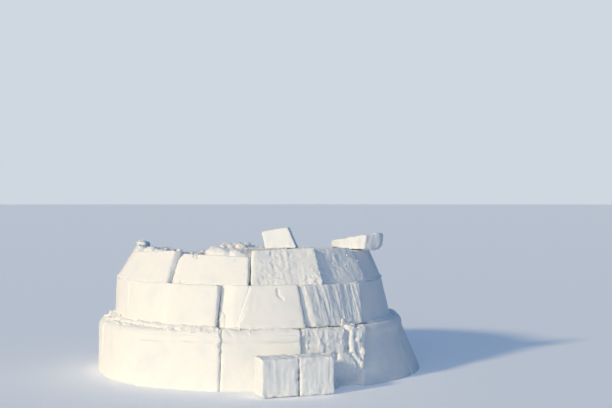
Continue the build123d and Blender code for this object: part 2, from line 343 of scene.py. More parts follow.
@dataclass
class SnowNodes:
    """A Geometry Nodes tree with named inputs, for work on snow."""

    name: str
    tree: bpy.types.NodeTree = field(init=False)
    add: Callable[..., Sockets] = field(init=False)
    sockets: dict[str, str] = field(init=False, default_factory=dict)
    given: Sockets = field(init=False)
    place: Socket = field(init=False)
    normal: Socket = field(init=False)
    shape: Socket = field(init=False)

    def open(self, inputs: dict[str, str]) -> None:
        """Make the tree and its inputs.

        Args:
            inputs: The kind of socket of each input, besides the geometry and material.
        """
        self.tree = bpy.data.node_groups.new(self.name, "GeometryNodeTree")
        self.add = partial(add_node, self.tree)
        kinds = {"geometry": "Geometry", **inputs, "material": "Material"}
        for name, kind in kinds.items():
            socket = self.tree.interface.new_socket(
                name=name, in_out="INPUT", socket_type=f"NodeSocket{kind}"
            )
            self.sockets[name] = socket.identifier
        self.tree.interface.new_socket(
            name="geometry", in_out="OUTPUT", socket_type="NodeSocketGeometry"
        )
        self.given = self.add("NodeGroupInput")
        self.place = self.add("GeometryNodeInputPosition")["Position"]
        self.normal = self.add("GeometryNodeInputNormal")["Normal"]
        self.shape = self.given["geometry"]

    def close(self) -> None:
        """Make the shape real, give it its material and put it out."""
        real = self.add("GeometryNodeRealizeInstances", [self.shape])[0]
        material = self.given["material"]
        self.shape = self.add(
            "GeometryNodeSetMaterial", {"Geometry": real, "Material": material}
        )[0]
        self.add("NodeGroupOutput", {"geometry": self.shape})

    def put_on(self, piece: bpy.types.Object, values: dict[str, object]) -> None:
        """Put the tree on a piece.

        Args:
            piece: The object that gets the tree as a modifier.
            values: A value for each named input except the geometry.
        """
        work = piece.modifiers.new(self.name, "NODES")
        work.node_group = self.tree
        for name, value in values.items():
            work[self.sockets[name]] = value

    def clouds(self, pattern: Cloud) -> Socket:
        """Sample a cloudy pattern at each point.

        Args:
            pattern: The pattern.

        Returns:
            About 0.5 on average.
        """
        to_metre, detail = pattern.value
        return self.add(
            NOISE, {"Vector": self.place, "Scale": to_metre, "Detail": detail}
        )["Fac"]

    def swing(self, pattern: Cloud, middle: float = 0.5) -> Socket:
        """Give how far a cloudy pattern is over its middle at each point."""
        return self.add(MATH, [self.clouds(pattern), middle], operation="SUBTRACT")[0]

    def evened(self, rounds: int) -> Socket:
        """Give the place of each point, evened out with its neighbours'."""
        return self.add(
            "GeometryNodeBlurAttribute",
            {"Value": self.place, "Iterations": rounds}, data_type="FLOAT_VECTOR",
        )["Value"]

    def settle(self, place: Socket, share: Socket | None = None) -> None:
        """Move every point to another place, or a share of the way to it.

        Args:
            place: The place for each point.
            share: The share of the way, or none for the whole of it.
        """
        if share is not None:
            place = self.add(
                "ShaderNodeMix", {0: share, 4: self.place, 5: place}, data_type="VECTOR"
            )[1]
        self.shape = self.add(
            "GeometryNodeSetPosition", {"Geometry": self.shape, "Position": place}
        )[0]

    def push(self, axis: Socket, distance: Socket) -> None:
        """Push every point along an axis.

        Args:
            axis: The axis at each point.
            distance: How far, or a negative number for backwards.
        """
        offset = self.add(VECTORS, {0: axis, "Scale": distance}, operation="SCALE")[0]
        self.shape = self.add(
            "GeometryNodeSetPosition", {"Geometry": self.shape, "Offset": offset}
        )[0]


@dataclass
class SnowTree(SnowNodes):
    """The tree that turns a cut block into worn snow, with its lengths in metres."""

    name: str = "worn_snow_block"

    # The block's upward axis, its half sizes, and each point's place in its own axes
    upward: Socket = field(init=False)
    half: dict[str, Socket] = field(init=False)
    along: Socket = field(init=False)
    up: Socket = field(init=False)
    out: Socket = field(init=False)

    # Each point's place along the face, less the slant of the tool
    across: Socket = field(init=False)

    # How open the side nearest to each point is
    open_side: Socket = field(init=False)

    # Overlap of two fused blocks and gap of an open joint, on each side of it
    overlap: float = 0.010
    opening: float = 0.001

    # Openness at which a joint starts to open and is open, and its sway along the joint
    joint_opens: tuple[float, float] = (0.15, 0.55)
    joint_sway: float = 1.2

    # How far behind its face a fused end begins to swell in full
    lip: float = 0.035

    # Cosines between a normal and an axis at which a point is turned away and facing
    turn: tuple[float, float] = (0.5, 0.9)

    # How far the ends of a bent face draw in, so that it keeps its mean place, and how
    # far from the block's middle the bend is full
    drawn_in: float = 0.033
    bend_full: float = 0.05

    # How far from a side its edge is worn, and how ragged an open edge is
    wear_reach: float = 0.10
    raggedness: float = 0.03
    rag_middle: float = 0.45

    # Which clouds chip an edge, and the share of wear that they give
    chipping: tuple[float, float] = (0.35, 0.7)
    chipped_wear: tuple[float, float] = (0.35, 1.2)

    # Which clouds keep the marks on a face, and the share of the marks that is left
    marking: tuple[float, float] = (0.35, 0.6)
    marks_left: tuple[float, float] = (0.25, 1.0)

    # How often a streak breaks off in a metre, how ragged it is, and its edges
    streak_breaks: float = 3.5
    streak_detail: float = 1.5
    streak_edges: tuple[float, float] = (0.35, 0.62)

    # Width to height of scallops and chips, how soft and uneven the scallops are, where
    # one ends, and how much smaller and shallower the second chips are
    scallop_slimness: float = 0.4
    chip_slimness: float = 0.8
    scallop_softness: float = 0.35
    scallop_unevenness: float = 0.9
    scallop_end: float = 0.75
    second_chips: float = 2.3
    second_depth: float = 0.4

    # How far a crease sways up and down, and half its width
    crease_sway: float = 0.03
    crease_reach: float = 0.016

    # Where a nick ends, as a share of its width
    nick_end: float = 0.6

    # Depths under the surroundings at which the painted shade of a hollow starts and is
    # full
    painted_shade_depths: tuple[float, float] = (0.0005, 0.006)

    # Rounds of evening out: of the cut block, of softened marks, of worn edges, and of
    # the surroundings against which a hollow's painted shade is measured
    cut_rounds: int = 2
    soft_rounds: int = 12
    wear_rounds: int = 22
    painted_shade_rounds: int = 6

    def __post_init__(self) -> None:
        """Make the tree and its inputs, and wire it."""
        vectors = ("outward", "along", "centre", "half_size", "ring_centre")
        numbers = [setting.name for setting in (*fields(Edges), *fields(SnowWork))]
        numbers += ["seed", "nick_width", "nick_depth"]
        self.open({
            **dict.fromkeys(vectors, "Vector"), **dict.fromkeys(numbers, "Float"),
            "nicks": "Object",
        })
        self.find_places()
        self.close_joints()
        self.settle(self.evened(self.cut_rounds))
        self.soften()
        self.wear_edges()
        self.bow_face()
        self.carve()
        self.paint_hollow_shade()
        self.stand_on_ground()
        self.close()

    def find_places(self) -> None:
        """Work out the block's axes and where each point lies in them."""
        add = self.add
        given = self.given
        self.upward = add(
            VECTORS, [given["outward"], given["along"]], operation="CROSS_PRODUCT"
        )["Vector"]
        from_centre = add(
            VECTORS, [self.place, given["centre"]], operation="SUBTRACT"
        )["Vector"]
        self.along, self.up, self.out = (
            add(VECTORS, [from_centre, axis], operation="DOT_PRODUCT")["Value"]
            for axis in (given["along"], self.upward, given["outward"])
        )
        halves = add("ShaderNodeSeparateXYZ", [given["half_size"]])
        self.half = dict(zip(("along", "up", "out"), halves))
        lean = add(MATH, [given["slant"], -1.0], operation="MULTIPLY")[0]
        self.across = add(MATH, [self.up, lean, self.along], operation="MULTIPLY_ADD")[0]
        self.open_side = self.openness()

    def openness(self) -> Socket:
        """Work out how open the side nearest to each point is.

        Returns:
            0 away from the sides and where they are fused, to 1 at an open side.
        """
        add = self.add
        widest = 0.0
        for place, half, sign, name in (
            (self.along, self.half["along"], -1.0, "near"),
            (self.along, self.half["along"], 1.0, "far"),
            (self.up, self.half["up"], 1.0, "head"),
            (self.up, self.half["up"], -1.0, "foot"),
        ):
            left = add(MATH, [place, sign], operation="MULTIPLY")[0]
            left = add(MATH, [half, left], operation="SUBTRACT")[0]
            close = add(
                RANGE, [left, 0.0, self.wear_reach, 1.0, 0.0], interpolation_type=EASED
            )["Result"]
            here = add(MATH, [close, self.given[name]], operation="MULTIPLY")[0]
            widest = add(MATH, [widest, here], operation="MAXIMUM")[0]
        return widest

    def facing(self, axis: Socket, sign: float = 1.0) -> Socket:
        """Work out how far each point faces along an axis.

        Args:
            axis: The axis.
            sign: 1 for along it and -1 for against it.

        Returns:
            0 for turned away, to 1 for facing.
        """
        add = self.add
        dot = add(VECTORS, [self.normal, axis], operation="DOT_PRODUCT")["Value"]
        dot = add(MATH, [dot, sign], operation="MULTIPLY")[0]
        return add(RANGE, [dot, *self.turn], interpolation_type=EASED)["Result"]

    def close_joints(self) -> None:
        """Swell the fused sides into their neighbours and draw the open ones back.

        The outermost of a fused end stays, so that no lip stands out at the corner
        between two flat faces.
        """
        add = self.add
        depth = add(MATH, [self.half["out"], self.out], operation="SUBTRACT")[0]
        inside = add(RANGE, [depth, 0.0, self.lip], interpolation_type=EASED)["Result"]
        sway = self.swing(Cloud.JOINTS)
        total = 0.0
        for axis, sign, name in (
            (self.given["along"], -1.0, "near"), (self.given["along"], 1.0, "far"),
            (self.upward, 1.0, "head"), (self.upward, -1.0, "foot"),
        ):
            here = add(
                MATH, [sway, self.joint_sway, self.given[name]], operation="MULTIPLY_ADD"
            )[0]
            swell = add(
                RANGE, [here, *self.joint_opens, self.overlap, -self.opening],
                interpolation_type=EASED,
            )["Result"]
            if name in ("near", "far"):
                swell = add(MATH, [swell, inside], operation="MULTIPLY")[0]
            total = add(
                MATH, [swell, self.facing(axis, sign), total], operation="MULTIPLY_ADD"
            )[0]
        self.push(self.normal, total)

    def soften(self) -> None:
        """Fill the marks of the tools a little, as drifting snow does."""
        self.settle(self.evened(self.soft_rounds), self.given["softness"])

    def wear_edges(self) -> None:
        """Round the edges, most where the side is open and the snow chipped."""
        add = self.add
        chips = add(
            RANGE, [self.clouds(Cloud.EDGES), *self.chipping, *self.chipped_wear],
            interpolation_type=EASED,
        )["Result"]
        wear = add(MATH, [chips, self.given["edge_wear"]], operation="MULTIPLY")[0]
        wear = add(MATH, [wear, self.open_side], operation="MULTIPLY")[0]
        self.settle(self.evened(self.wear_rounds), wear)

    def bow_face(self) -> None:
        """Bend a flat face to the ring's round, alike at both its ends."""
        add = self.add
        spoke = add(
            VECTORS, [self.place, self.given["ring_centre"]], operation="SUBTRACT"
        )["Vector"]
        spoke = add(VECTORS, [spoke, LEVEL], operation="MULTIPLY")["Vector"]
        radius = add(VECTORS, [spoke], operation="LENGTH")["Value"]
        # An arc rises over its chord by (half chord² - distance along it²) / 2 radius
        half = self.half["along"]
        widest = add(MATH, [half, half], operation="MULTIPLY")[0]
        here = add(MATH, [self.along, self.along], operation="MULTIPLY")[0]
        rise = add(MATH, [widest, here], operation="SUBTRACT")[0]
        across = add(MATH, [radius, 2.0], operation="MULTIPLY")[0]
        rise = add(MATH, [rise, across], operation="DIVIDE")[0]
        reach = add(MATH, [rise, self.drawn_in], operation="SUBTRACT")[0]
        front = add(
            RANGE, [self.out, 0.0, self.bend_full], interpolation_type=EASED
        )["Result"]
        reach = add(MATH, [reach, front], operation="MULTIPLY")[0]
        reach = add(MATH, [reach, self.given["bow"]], operation="MULTIPLY")[0]
        self.push(add(VECTORS, [spoke], operation="NORMALIZE")["Vector"], reach)

    def carve(self) -> None:
        """Sink the tool marks, scallops and lumps into the faces."""
        add = self.add
        given = self.given
        patch = add(
            RANGE, [self.clouds(Cloud.FACES), *self.marking, *self.marks_left],
            interpolation_type=EASED,
        )["Result"]
        front = add(MATH, [self.facing(given["outward"]), patch], operation="MULTIPLY")[0]
        top = add(
            MATH, [self.facing(self.upward), self.clouds(Cloud.TOPS)], operation="MULTIPLY"
        )[0]
        total = add(MATH, [self.streaks(), given["streaks"]], operation="MULTIPLY")[0]
        for marks, depth in (
            (self.scallops(), "scallops"), (self.chips(), "chips"),
            (self.creases(), "crease"),
        ):
            total = add(MATH, [marks, given[depth], total], operation="MULTIPLY_ADD")[0]
        total = add(MATH, [total, front], operation="MULTIPLY")[0]
        for marks, depth in (
            (top, "top_wear"), (self.swing(Cloud.LUMPS), "lumps"),
            (self.swing(Cloud.CRUMBLE), "crumble"),
        ):
            total = add(MATH, [marks, given[depth], total], operation="MULTIPLY_ADD")[0]
        nick = add(MATH, [self.nick(), front], operation="MULTIPLY")[0]
        total = add(MATH, [total, nick], operation="ADD")[0]
        ragged = add(
            MATH, [self.swing(Cloud.RAGS, self.rag_middle), self.open_side],
            operation="MULTIPLY",
        )[0]
        total = add(MATH, [ragged, self.raggedness, total], operation="MULTIPLY_ADD")[0]
        inward = add(MATH, [total, -1.0], operation="MULTIPLY")[0]
        self.push(self.normal, inward)

    def streaks(self) -> Socket:
        """Draw long streaks up the face, as a saw or a spade leaves them.

        Returns:
            0 between the streaks, to 1 in them.
        """
        add = self.add
        spacing = self.given["streak_spacing"]
        wide = add(MATH, [self.across, spacing], operation="DIVIDE")[0]
        high = add(MATH, [self.up, self.streak_breaks], operation="MULTIPLY")[0]
        lane = add("ShaderNodeCombineXYZ", [wide, high, self.given["seed"]])[0]
        noise = add(
            NOISE, {"Vector": lane, "Scale": 1.0, "Detail": self.streak_detail}
        )["Fac"]
        return add(RANGE, [noise, *self.streak_edges], interpolation_type=EASED)["Result"]

    def cells(self, size: Socket, slimness: float) -> Socket:
        """Share the face out in cells of one size.

        Args:
            size: Width of a cell.
            slimness: Width of a cell to its height.

        Returns:
            Each point's place, with a cell to every unit.
        """
        add = self.add
        wide = add(MATH, [self.across, size], operation="DIVIDE")[0]
        high = add(MATH, [self.up, slimness], operation="MULTIPLY")[0]
        high = add(MATH, [high, size], operation="DIVIDE")[0]
        return add("ShaderNodeCombineXYZ", [wide, high, self.given["seed"]])[0]

    def scallops(self) -> Socket:
        """Scoop soft bowls out of the face.

        Returns:
            1 in the middle of each bowl, to 0 at its end.
        """
        cells = self.cells(self.given["scallop_size"], self.scallop_slimness)
        from_middle = self.add(
            "ShaderNodeTexVoronoi",
            {
                "Vector": cells, "Scale": 1.0, "Smoothness": self.scallop_softness,
                "Randomness": self.scallop_unevenness,
            },
            feature="SMOOTH_F1",
        )["Distance"]
        return self.add(
            RANGE, [from_middle, 0.0, self.scallop_end, 1.0, 0.0], interpolation_type=EASED
        )["Result"]

    def chips(self) -> Socket:
        """Knock flat chips of two sizes off the face.

        Returns:
            How deep each point lies, about 0 on average.
        """
        cells = self.cells(self.given["chip_size"], self.chip_slimness)
        small = self.add(
            VECTORS, {0: cells, "Scale": self.second_chips}, operation="SCALE"
        )["Vector"]
        shallow = self.add(
            MATH, [self.tilted(small), self.second_depth], operation="MULTIPLY"
        )[0]
        return self.add(MATH, [shallow, self.tilted(cells)], operation="ADD")[0]

    def tilted(self, cells: Socket) -> Socket:
        """Tilt each cell its own way.

        Args:
            cells: Each point's place, with a cell to every unit.

        Returns:
            How deep each point lies, about 0 on average.
        """
        add = self.add
        cell = add("ShaderNodeTexVoronoi", {"Vector": cells, "Scale": 1.0})
        # The random colour of a cell, less the mean colour, is the way it tilts
        mean = (0.5, 0.5, 0.5)
        tilt = add(VECTORS, [cell["Color"], mean], operation="SUBTRACT")["Vector"]
        from_middle = add(
            VECTORS, [cells, cell["Position"]], operation="SUBTRACT"
        )["Vector"]
        return add(VECTORS, [from_middle, tilt], operation="DOT_PRODUCT")["Value"]

    def nick(self) -> Socket:
        """Work out the depth of the nicks, from how near each point is to one.

        Returns:
            The depth.
        """
        add = self.add
        nicks = add("GeometryNodeObjectInfo", {"Object": self.given["nicks"]})["Geometry"]
        near = add("GeometryNodeProximity", {"Geometry": nicks}, target_element="FACES")
        across = add(
            MATH, [near["Distance"], self.given["nick_width"]], operation="DIVIDE"
        )[0]
        depth = add(
            RANGE, [across, 0.0, self.nick_end, 1.0, 0.0], interpolation_type=EASED
        )["Result"]
        depth = add(MATH, [depth, self.given["nick_depth"]], operation="MULTIPLY")[0]
        return add(MATH, [depth, near["Is Valid"]], operation="MULTIPLY")[0]

    def creases(self) -> Socket:
        """Draw two wavy level lines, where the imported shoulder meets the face.

        Returns:
            1 on the lines, to 0 beside them.
        """
        add = self.add
        height = add("ShaderNodeSeparateXYZ", [self.place])["Z"]
        height = add(
            MATH, [self.swing(Cloud.CREASES), self.crease_sway, height],
            operation="MULTIPLY_ADD",
        )[0]
        lower = add(MATH, [height, self.given["crease_height"]], operation="SUBTRACT")[0]
        upper = add(MATH, [lower, self.given["crease_pitch"]], operation="SUBTRACT")[0]
        lower = add(MATH, [lower], operation="ABSOLUTE")[0]
        upper = add(MATH, [upper], operation="ABSOLUTE")[0]
        nearest = add(MATH, [lower, upper], operation="MINIMUM")[0]
        return add(
            RANGE, [nearest, 0.0, self.crease_reach, 1.0, 0.0], interpolation_type=EASED
        )["Result"]

    def paint_hollow_shade(self) -> None:
        """Store how deep each point lies below its surroundings, as the share of painted
        shade that the material puts in hollows.
        """
        add = self.add
        rise = add(
            VECTORS, [self.evened(self.painted_shade_rounds), self.place], operation="SUBTRACT"
        )["Vector"]
        below = add(VECTORS, [rise, self.normal], operation="DOT_PRODUCT")["Value"]
        hollow = add(
            RANGE, [below, *self.painted_shade_depths], interpolation_type=EASED
        )["Result"]
        self.shape = add(
            "GeometryNodeStoreNamedAttribute",
            {"Geometry": self.shape, "Name": "hollow", "Value": hollow}, data_type="FLOAT",
        )["Geometry"]

    def stand_on_ground(self) -> None:
        """Keep every point on or above the ground."""
        x, y, z = self.add("ShaderNodeSeparateXYZ", [self.place])
        z = self.add(MATH, [z, 0.0], operation="MAXIMUM")[0]
        self.settle(self.add("ShaderNodeCombineXYZ", [x, y, z])[0])


def baked(piece: bpy.types.Object) -> None:
    """Replace a piece's mesh with what its modifiers make of it.

    Args:
        piece: The object, which keeps no modifier.
    """
    bpy.context.view_layer.update()
    shown = bpy.context.evaluated_depsgraph_get()
    mesh = bpy.data.meshes.new_from_object(piece.evaluated_get(shown))
    piece.modifiers.clear()
    piece.data = mesh
    LOG.info("%s: %d faces", piece.name, len(mesh.polygons))


def add_skin(piece: bpy.types.Object, voxel: float) -> None:
    """Give a piece an even skin of small faces.

    Args:
        piece: The object.
        voxel: Width of the faces.
    """
    skin = piece.modifiers.new("skin", "REMESH")
    skin.mode = "VOXEL"
    skin.voxel_size = voxel
    skin.use_smooth_shade = True


@dataclass(frozen=True)
class Nicks:
    """Straight nicks in a block's face.

    Each line runs from one point to another, along and up from the block's middle.
    """

    lines: tuple[tuple[float, float, float, float], ...] = ()
    width: float = 0.028
    depth: float = 0.016

    # How far the sheets that find the nicks reach in and out of the face
    reach: float = 0.08

    def sheets(self, outward: Vector, along: Vector, face: Vector) -> bpy.types.Object:
        """Stand a thin sheet on each line, square to the face.

        Args:
            outward: Direction out of the block's face.
            along: Direction along the wall.
            face: Middle of the face.

        Returns:
            One object with all the sheets.
        """
        up = outward.cross(along)
        reach = outward * self.reach
        shape = bmesh.new()
        for start_along, start_up, end_along, end_up in self.lines:
            start = face + along * start_along + up * start_up
            end = face + along * end_along + up * end_up
            corners = (start - reach, end - reach, end + reach, start + reach)
            shape.faces.new([shape.verts.new(corner) for corner in corners])
        return placed("nicks", mesh_of("nicks", shape))


@dataclass
class SnowBlock:
    """One cut block, dressed from a copy of its solid."""

    node: str
    face: Face = Face.SAWN
    edges: Edges = Edges()
    nicks: Nicks = Nicks()
    seed: float = 0.0

    # How near two of the solid's corners are when they are one, and how nearly a
    # triangle faces out of the ring when it belongs to the outer face
    merge_distance: float = 1e-5
    facing_out: float = 0.7

    def axes(self) -> tuple[Vector, Vector, Vector, Vector]:
        """Work out the block's own axes, its centre and its half size.

        Returns:
            The outward direction, the direction along the wall, the centre, and the half
            size along, up the face and outward.
        """
        low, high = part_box(self.node)
        centre = (low + high) / 2
        radial = centre - RING_CENTRE
        radial = Vector((radial.x, radial.y, 0)).normalized()
        along = Vector((-radial.y, radial.x, 0))
        mesh = bpy.data.objects[self.node].data
        mesh.calc_loop_triangles()
        outward = Vector()
        for triangle in mesh.loop_triangles:
            if triangle.normal.dot(radial) > self.facing_out:
                outward += triangle.normal * triangle.area
        outward.normalize()
        up = outward.cross(along)
        spans = []
        for axis in (along, up, outward):
            reaches = [vertex.co.dot(axis) for vertex in mesh.vertices]
            centre += axis * ((min(reaches) + max(reaches)) / 2 - centre.dot(axis))
            spans.append((max(reaches) - min(reaches)) / 2)
        return outward, along, centre, Vector(spans)

    def build(
        self, snow: SnowTree, finish: bpy.types.Material, slot: str
    ) -> bpy.types.Object:
        """Dress the block and let it stand for its node.

        Args:
            snow: The tree that wears and carves the snow.
            finish: The material of the snow.
            slot: Name of a material slot; not used.

        Returns:
            The dressed block.
        """
        source = bmesh.new()
        source.from_mesh(bpy.data.objects[self.node].data)
        bmesh.ops.remove_doubles(source, verts=source.verts, dist=self.merge_distance)
        name = f"snow_{self.node}"
        piece = placed(name, mesh_of(name, source))
        outward, along, centre, half_size = self.axes()
        nicks = self.nicks.sheets(outward, along, centre + outward * half_size.z)
        add_skin(piece, SKIN_VOXEL)
        snow.put_on(piece, {
            "outward": outward, "along": along, "centre": centre, "half_size": half_size,
            "ring_centre": RING_CENTRE, "seed": self.seed, "nicks": nicks,
            "nick_width": self.nicks.width, "nick_depth": self.nicks.depth,
            "material": finish, **asdict(self.edges), **asdict(self.face.value),
        })
        baked(piece)
        bpy.data.objects.remove(nicks)
        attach(piece, ROOT)
        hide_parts(self.node)
        return piece


@dataclass
class Course:
    """One course of the wall, with the blocks that were left differently."""

    name: str
    count: int
    faces: dict[int, Face]
    edges: dict[int, Edges]
    nicks: dict[int, Nicks] = field(default_factory=dict)

    def build(self, snow: SnowTree, finish: bpy.types.Material) -> None:
        """Dress every block of the course.

        Args:
            snow: The tree that wears and carves the snow.
            finish: The material of the snow.
        """
        for number in range(1, self.count + 1):
            SnowBlock(
                f"{self.name}_block_{number:02d}", self.faces.get(number, Face.SAWN),
                self.edges.get(number, Edges()), self.nicks.get(number, Nicks()),
                seed=number * SEED_STEP + len(self.name),
            ).build(snow, finish, WALL_SLOT)
        LOG.info("%s: %d blocks dressed", self.name, self.count)


@dataclass
class Wall:
    """The dressed wall, to lay loose snow against."""

    shown: bpy.types.Depsgraph = field(init=False)

    # How far outside the middle and how high over the ground the wall is looked for
    outside: float = 1.62
    overhead: float = 3.0

    def __post_init__(self) -> None:
        """Take the scene as it is now."""
        bpy.context.view_layer.update()
        self.shown = bpy.context.evaluated_depsgraph_get()

    def face(self, azimuth: float, height: float) -> Vector:
        """Find the outer face.

        Args:
            azimuth: Azimuth in degrees.
            height: Height in metres.

        Returns:
            The place on the face.
        """
        outward = outward_at(azimuth)
        start = RING_CENTRE + outward * self.outside + Vector((0, 0, height))
        return bpy.context.scene.ray_cast(self.shown, start, -outward)[1]

    def top(self, azimuth: float, radius: float) -> tuple[Vector, Vector]:
        """Find the top of the snow.

        Args:
            azimuth: Azimuth in degrees.
            radius: Distance from the ring's middle.

        Returns:
            The place and its normal.
        """
        start = RING_CENTRE + outward_at(azimuth) * radius + Vector((0, 0, self.overhead))
        down = Vector((0, 0, -1))
        _, place, normal, *_ = bpy.context.scene.ray_cast(self.shown, start, down)
        return place, normal


@dataclass
class LooseTree(SnowNodes):
    """The tree that turns lumps or points into loose snow, with its lengths in metres."""

    name: str = "loose_snow"
    crumbs: bool = False

    # Rounds of evening out with which lumps grow together
    rounds: int = 5

    # Radius of a crumb, its least and most stretch, its largest turn in radians, and the
    # seeds of the two
    crumb_radius: float = 0.009
    least_stretch: tuple[float, float, float] = (0.35, 0.35, 0.3)
    most_stretch: tuple[float, float, float] = (1.5, 1.2, 0.9)
    largest_turn: tuple[float, float, float] = (6.3, 6.3, 6.3)
    stretch_seed: int = 8
    turn_seed: int = 3

    def __post_init__(self) -> None:
        """Make the tree and its inputs, and wire it."""
        self.open({"lumps": "Float", "crumble": "Float"})
        if self.crumbs:
            self.scatter()
        else:
            self.settle(self.evened(self.rounds))
        total = 0.0
        patterns = {"lumps": Cloud.LOOSE_LUMPS, "crumble": Cloud.LOOSE_CRUMBLE}
        for name, pattern in patterns.items():
            total = self.add(
                MATH, [self.swing(pattern), self.given[name], total],
                operation="MULTIPLY_ADD",
            )[0]
        self.push(self.normal, total)
        self.close()

    def scatter(self) -> None:
        """Put a small turned and stretched lump on every point."""
        add = self.add
        lump = add(
            "GeometryNodeMeshIcoSphere", {"Radius": self.crumb_radius, "Subdivisions": 2}
        )["Mesh"]
        turn = add(
            "FunctionNodeRandomValue",
            {0: (0.0, 0.0, 0.0), 1: self.largest_turn, "Seed": self.turn_seed},
            data_type="FLOAT_VECTOR",
        )[0]
        size = add(
            "FunctionNodeRandomValue",
            {0: self.least_stretch, 1: self.most_stretch, "Seed": self.stretch_seed},
            data_type="FLOAT_VECTOR",
        )[0]
        points = add("GeometryNodeMeshToPoints", {"Mesh": self.shape})["Points"]
        spread = add(
            "GeometryNodeInstanceOnPoints",
            {"Points": points, "Instance": lump, "Rotation": turn, "Scale": size},
        )["Instances"]
        self.shape = add("GeometryNodeRealizeInstances", [spread])["Geometry"]


@dataclass(frozen=True)
class Lump:
    """One lump of loose snow: its middle, its half sizes and its turn about the upright."""

    middle: Vector
    size: tuple[float, float, float]
    turn: float = 0.0

    def frame(self) -> Matrix:
        """Give the matrix that makes a unit ball this lump."""
        turn = Matrix.Rotation(math.radians(self.turn), 4, "Z")
        return Matrix.Translation(self.middle) @ turn @ Matrix.Diagonal((*self.size, 1.0))


@dataclass
class LooseSnow:
    """Loose snow as one piece: either lumps that have frozen together, or crumbs."""

    name: str
    lumps: list[Lump] = field(default_factory=list)
    crumbs: list[Vector] = field(default_factory=list)
    lumpiness: float = 0.02
    crumble: float = 0.006

    def build(self, tree: LooseTree, finish: bpy.types.Material) -> bpy.types.Object:
        """Make the piece and let it ride with the wall.

        Args:
            tree: The tree that roughens it.
            finish: The material of the snow.

        Returns:
            The piece.
        """
        shape = bmesh.new()
        for lump in self.lumps:
            place = lump.frame()
            bmesh.ops.create_icosphere(shape, subdivisions=2, radius=1.0, matrix=place)
        for crumb in self.crumbs:
            shape.verts.new(crumb)
        piece = placed(self.name, mesh_of(self.name, shape))
        if self.lumps:
            add_skin(piece, HEAP_VOXEL)
        tree.put_on(
            piece, {"lumps": self.lumpiness, "crumble": self.crumble, "material": finish}
        )
        baked(piece)
        piece.data.shade_smooth()
        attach(piece, ROOT)
        return piece


